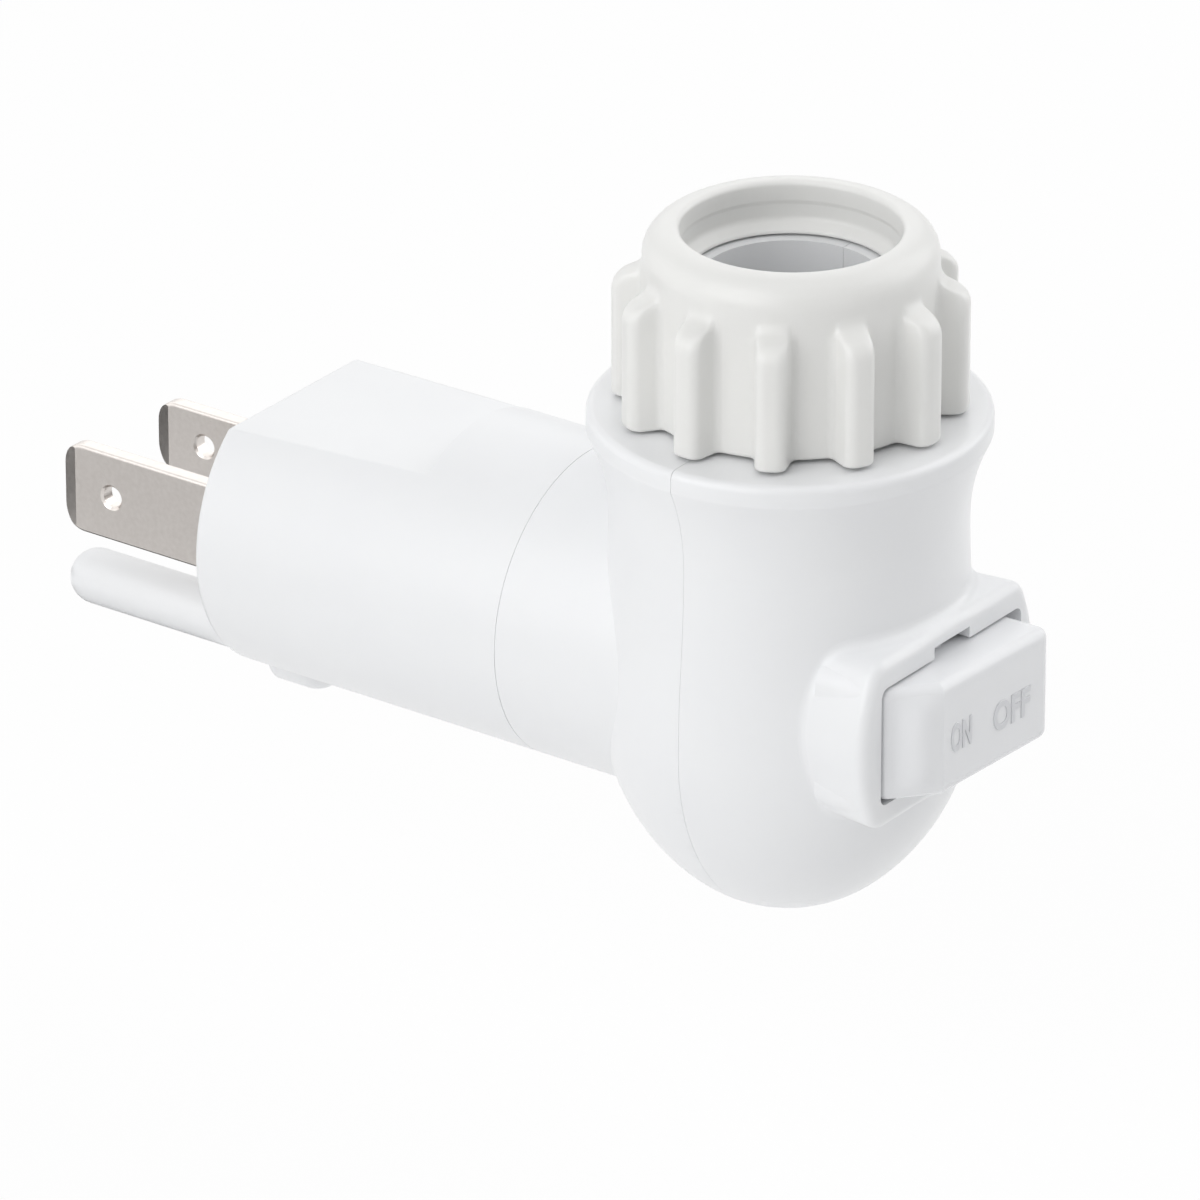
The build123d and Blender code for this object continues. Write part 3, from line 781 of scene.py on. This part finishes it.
    def marking(self) -> None:
        """Put the two words on the rocker's face."""
        self.word("ON", self.on_place, self.on_width)
        self.word("OFF", self.off_place, self.off_width)


@dataclass
class RingNut:
    """Ribbed ring that clamps a shade on the flange.

    It has soft moulded ribs and a lip turned in over the neck. mouth_roundings go from the mouth's edge over
    the step and the nose down to the bore.
    """

    finishes: Finishes
    wall_radius: float = 12.0
    bore_radius: float = 10.0
    opening_radius: float = 8.975
    step_radius: float = 9.12
    nose_radius: float = 8.15
    top_rounding: float = 2.4
    foot_rounding: float = 0.4
    step_depth: float = 1.7
    step_slope: float = 0.35
    nose_depth: float = 3.35
    nose_slope: float = 0.7
    lip_depth: float = 4.3
    mouth_roundings: tuple[float, ...] = (0.45, 0.3, 0.3, 0.6, 0.3, 0.1, 0.2)
    rib_count: int = 12
    rib_phase_deg: float = -1.4
    rib_depth: float = 2.5
    rib_front_deg: float = 4.54
    rib_root_deg: float = 7.2
    rib_front_height: float = 10.3
    rib_root_height: float = 11.4
    rib_edge: float = 0.95
    rib_fillet: float = 0.8
    rib_top_edge: float = 1.7
    rib_top_fillet: float = 1.3

    def across_rib(self) -> tuple[np.ndarray, np.ndarray]:
        """Section of all the ribs round the ring.

        Returns:
            Angles round the lamp axis, and the share of the rib's depth at each.
        """
        arc_mm = math.radians(1.0) * (self.wall_radius + self.rib_depth / 2)
        pitch_deg = 360.0 / self.rib_count
        half = rounded_path(
            [
                (0.0, self.rib_depth),
                (self.rib_front_deg * arc_mm, self.rib_depth),
                (self.rib_root_deg * arc_mm, 0.0),
                (pitch_deg / 2 * arc_mm, 0.0),
            ],
            (self.rib_edge, self.rib_fillet),
        )
        one = np.concatenate((-half[:0:-1] * (1, -1), half[:-1]))
        centres = self.rib_phase_deg + pitch_deg * np.arange(self.rib_count)
        angles = np.radians((centres[:, None] + one[None, :, 0] / arc_mm).ravel())
        return angles, np.tile(one[:, 1] / self.rib_depth, self.rib_count)

    def along_ring(self, bottom: float, top: float) -> tuple[np.ndarray, np.ndarray]:
        """Section of the ring from its foot up the wall, over the lip, down the mouth and back down the bore.

        Args:
            bottom: Height of its foot.
            top: Height of its lip.

        Returns:
            Radius and height of each point of the closed section, and the share of the rib's depth there.
        """
        foot = rounded_path(
            [
                (self.bore_radius, bottom),
                (self.wall_radius, bottom),
                (self.wall_radius, bottom + 2 * self.foot_rounding),
            ],
            (self.foot_rounding,),
        )
        rib_end = bottom + self.rib_root_height + self.rib_top_fillet
        rib = rounded_path(
            [
                (bottom + 2 * self.foot_rounding, self.rib_depth),
                (bottom + self.rib_front_height, self.rib_depth),
                (bottom + self.rib_root_height, 0.0),
                (rib_end, 0.0),
            ],
            (self.rib_top_edge, self.rib_top_fillet),
        )
        lip = rounded_path(
            [
                (self.wall_radius, rib_end),
                (self.wall_radius, top),
                (self.opening_radius, top),
                (self.opening_radius, top - self.step_depth),
                (self.step_radius, top - self.step_depth - self.step_slope),
                (self.step_radius, top - self.nose_depth),
                (self.nose_radius, top - self.nose_depth - self.nose_slope),
                (self.nose_radius, top - self.lip_depth),
                (self.bore_radius, top - self.lip_depth),
                (self.bore_radius, bottom),
            ],
            (self.top_rounding, *self.mouth_roundings),
        )
        wall = np.column_stack((np.full(len(rib), self.wall_radius), rib[:, 0]))
        section = np.concatenate((foot, wall[1:], lip[1:-1]))
        share = np.concatenate((np.ones(len(foot)), rib[1:, 1] / self.rib_depth, np.zeros(len(lip) - 2)))
        share[0] = 0.0
        return section, share

    def body(self) -> bpy.types.Object:
        """Make the ring with its ribs, in place of the plain solid.

        The radius at each angle and each point of the ring's section is the section's radius plus the rib's
        depth times its share round the ring times its share along the ring, so that the ribs' corners are
        rounded where both shares fall together.

        Returns:
            The ring.
        """
        low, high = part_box("ring_nut")
        angles, across = self.across_rib()
        section, along = self.along_ring(low.z / MM, high.z / MM)
        radius = section[:, :1] + self.rib_depth * along[:, None] * across[None, :]
        height = np.broadcast_to(section[:, 1:], radius.shape)
        places = np.stack([radius * np.cos(angles), radius * np.sin(angles), height], axis=-1)
        lamp_y = sum(point.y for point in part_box("screw_shell")) / 2 / MM
        points = (places.reshape(-1, 3) + (0.0, lamp_y, 0.0)) * MM
        quads = facing_out(points, grid_faces(len(section), len(angles), True, True))
        ring = mesh_piece("ribbed_ring_nut", points, quads, self.finishes.of(Finishes.warm_abs))
        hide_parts("ring_nut")
        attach(ring, Body.RING.value)
        log.info("ribbed_ring_nut stands for ring_nut, %d quads", len(quads))
        return ring

    def dress(self) -> None:
        """Give the ring its finish."""
        dress("ring_nut", self.finishes.of(Finishes.warm_abs))


@dataclass(frozen=True)
class PhotoCamera:
    """Camera of the photograph, from a fit of the object's outline.

    aim is the point that the angles turn about, aim_px its place in the 1200 pixel frame, and axis_px the
    place of the lens axis there.
    """

    azimuth_deg: float = -53.98
    elevation_deg: float = 25.33
    distance: float = 983.0
    px_per_mm: float = 12.143
    aim: tuple[float, float, float] = (0.0, -30.0, 0.0)
    aim_px: tuple[float, float] = (580.99, 594.22)
    axis_px: tuple[float, float] = (605.3, 587.6)
    sensor: float = 36.0
    clip_m: tuple[float, float] = (0.01, 20.0)

    def place(self) -> bpy.types.Object:
        """Create the camera and make it the scene's own.

        Returns:
            The camera.
        """
        azimuth, elevation = math.radians(self.azimuth_deg), math.radians(self.elevation_deg)
        right = Vector((math.cos(azimuth), math.sin(azimuth), 0.0))
        back = Vector(
            (
                math.sin(azimuth) * math.cos(elevation),
                -math.cos(azimuth) * math.cos(elevation),
                math.sin(elevation),
            )
        )
        up = back.cross(right)
        lens = bpy.data.cameras.new("photo_camera")
        lens.sensor_width = self.sensor
        lens.lens = self.sensor * self.px_per_mm * self.distance / FRAME_PX
        lens.shift_x = (FRAME_PX / 2 - self.axis_px[0]) / FRAME_PX
        lens.shift_y = (self.axis_px[1] - FRAME_PX / 2) / FRAME_PX
        lens.clip_start, lens.clip_end = self.clip_m
        across = (self.aim_px[0] - self.axis_px[0]) / self.px_per_mm
        down = (self.aim_px[1] - self.axis_px[1]) / self.px_per_mm
        spot = Vector(self.aim) + back * self.distance - right * across + up * down
        camera = bpy.data.objects.new("photo_camera", lens)
        turn = Matrix((right, up, back)).transposed().to_4x4()
        camera.matrix_world = Matrix.Translation(spot * MM) @ turn
        bpy.context.scene.collection.objects.link(camera)
        bpy.context.scene.camera = camera
        return camera


@dataclass(frozen=True)
class SoftBox:
    """One studio lamp with a square diffuser, aimed at the object."""

    name: str
    direction: tuple[float, float, float]
    watts: float
    distance: float = 800.0
    side: float = 750.0
    colour: str = "#ffffff"

    def light(self, aim: Vector) -> None:
        """Create the lamp.

        Args:
            aim: The point that it faces, in metres.
        """
        lamp = bpy.data.lights.new(self.name, "AREA")
        lamp.shape = "SQUARE"
        lamp.size = self.side * MM
        lamp.energy = self.watts
        lamp.color = linear(self.colour)[:3]
        way = Vector(self.direction).normalized()
        box = bpy.data.objects.new(self.name, lamp)
        turn = way.to_track_quat("Z", "Y").to_matrix().to_4x4()
        box.matrix_world = Matrix.Translation(aim + way * self.distance * MM) @ turn
        bpy.context.scene.collection.objects.link(box)


@dataclass(frozen=True)
class Card:
    """Matt card under the plug that only mirrors show, which gives the bright blades a darker tone."""

    name: str
    corner: tuple[float, float]
    size: tuple[float, float]
    colour: str

    def lay(self, height: float) -> None:
        """Lay the card flat.

        Args:
            height: Its height, in metres.
        """
        (x, y), (width, depth) = self.corner, self.size
        flat = np.array([(x, y), (x + width, y), (x + width, y + depth), (x, y + depth)]) * MM
        material, tree, output = new_material(f"{self.name}_paper")
        paper = add_node(tree, "ShaderNodeBsdfDiffuse", values={"Color": linear(self.colour)})
        tree.links.new(paper.outputs["BSDF"], output.inputs["Surface"])
        corners = np.column_stack((flat, np.full(4, height)))
        sheet = mesh_piece(self.name, corners, np.array([[0, 1, 2, 3]]), material)
        sheet.visible_camera = sheet.visible_diffuse = sheet.visible_shadow = False


@dataclass
class Studio:
    """White studio: pale floor, even surround, soft boxes and cards.

    floor_share is the share of plain white in what the eye sees of the floor. The rest is its paint, with the
    shadows on it.
    """

    surround: float = 0.33
    white: str = "#ffffff"
    floor_paint: str = "#f2f2f2"
    floor_share: float = 0.94
    floor_gap: float = 1.5
    floor_side: float = 6000.0
    boxes: tuple[SoftBox, ...] = (
        SoftBox("key_softbox", (-0.88, 0.08, 0.46), 3.5),
        SoftBox("top_softbox", (-0.30, -0.15, 0.94), 1.15),
        SoftBox("side_softbox", (-0.30, 0.90, 0.30), 0.8),
        SoftBox("rim_softbox", (0.72, -0.46, 0.52), 3.2),
        SoftBox("back_softbox", (0.60, 0.50, 0.60), 1.1),
    )
    cards: tuple[Card, ...] = (
        Card("grey_card", (-110.0, 12.0), (80.0, 100.0), "#dedede"),
        Card("dark_card", (-30.0, 50.0), (45.0, 80.0), "#303030"),
        Card("edge_card", (-16.0, 12.0), (26.0, 24.0), "#303030"),
    )
    card_height: float = -21.4

    def seen_directly(self, tree: bpy.types.NodeTree) -> bpy.types.NodeSocket:
        """One where a ray comes from the camera, a reflection or a transmission, and zero elsewhere.

        Args:
            tree: Node tree of the floor or the world.

        Returns:
            The socket with that value.
        """
        path = add_node(tree, "ShaderNodeLightPath").outputs
        mirror = add_node(tree, "ShaderNodeMath", {"operation": "MAXIMUM"})
        tree.links.new(path["Is Glossy Ray"], mirror.inputs[0])
        tree.links.new(path["Is Transmission Ray"], mirror.inputs[1])
        seen = add_node(tree, "ShaderNodeMath", {"operation": "MAXIMUM"})
        tree.links.new(path["Is Camera Ray"], seen.inputs[0])
        tree.links.new(mirror.outputs[0], seen.inputs[1])
        return seen.outputs[0]

    def world(self) -> None:
        """White to the eye, and an even soft light of the surround's strength on the object."""
        world = bpy.data.worlds.new("white_surround")
        world.use_nodes = True
        tree = world.node_tree
        tree.nodes.clear()
        output = tree.nodes.new("ShaderNodeOutputWorld")
        level = add_node(
            tree,
            "ShaderNodeMapRange",
            values={"To Min": self.surround, "To Max": 1.0},
            links={"Value": self.seen_directly(tree)},
        )
        white = add_node(
            tree,
            "ShaderNodeBackground",
            values={"Color": linear(self.white)},
            links={"Strength": level.outputs["Result"]},
        )
        tree.links.new(white.outputs["Background"], output.inputs["Surface"])
        bpy.context.scene.world = world

    def floor(self) -> None:
        """A wide pale floor just below the swivelling body's reach, which keeps a soft shadow."""
        _, high = CAD_BOX
        z = -high.z - self.floor_gap * MM
        half = self.floor_side / 2 * MM
        corners = np.array([(-half, -half, z), (half, -half, z), (half, half, z), (-half, half, z)])
        material, tree, output = new_material("painted_white_floor")
        seen = self.seen_directly(tree)
        share = add_node(tree, "ShaderNodeMath", {"operation": "MULTIPLY"})
        share.inputs[1].default_value = self.floor_share
        tree.links.new(seen, share.inputs[0])
        paint = add_node(tree, "ShaderNodeBsdfDiffuse", values={"Color": linear(self.floor_paint)})
        glow = add_node(tree, "ShaderNodeEmission", values={"Color": linear(self.white), "Strength": 1.0})
        mix = add_node(tree, "ShaderNodeMixShader", links={"Fac": share.outputs[0]})
        tree.links.new(paint.outputs["BSDF"], mix.inputs[1])
        tree.links.new(glow.outputs["Emission"], mix.inputs[2])
        tree.links.new(mix.outputs["Shader"], output.inputs["Surface"])
        mesh_piece("studio_floor", corners, np.array([[0, 1, 2, 3]]), material)

    def build(self) -> None:
        """Make the surround, the floor, the cards and the lamps."""
        low, high = CAD_BOX
        self.world()
        self.floor()
        for card in self.cards:
            card.lay(self.card_height * MM)
        for box in self.boxes:
            box.light((low + high) / 2)
        bpy.context.scene.view_settings.view_transform = "Standard"


def main() -> None:
    """Build the object's looks, the studio and the camera in order."""
    logging.basicConfig(level=logging.INFO)
    finishes = Finishes()
    plug = Plug(finishes)
    plug.dress()
    plug.seam_ring()
    holder = LampHolder(finishes)
    holder.dress()
    holder.screw_shell()
    holder.weld_bead()
    switch = Switch(finishes)
    switch.dress()
    switch.finger_pad()
    switch.marking()
    ring = RingNut(finishes)
    ring.dress()
    ring.body()
    Studio().build()
    PhotoCamera().place()


if __name__ == "__main__":
    main()
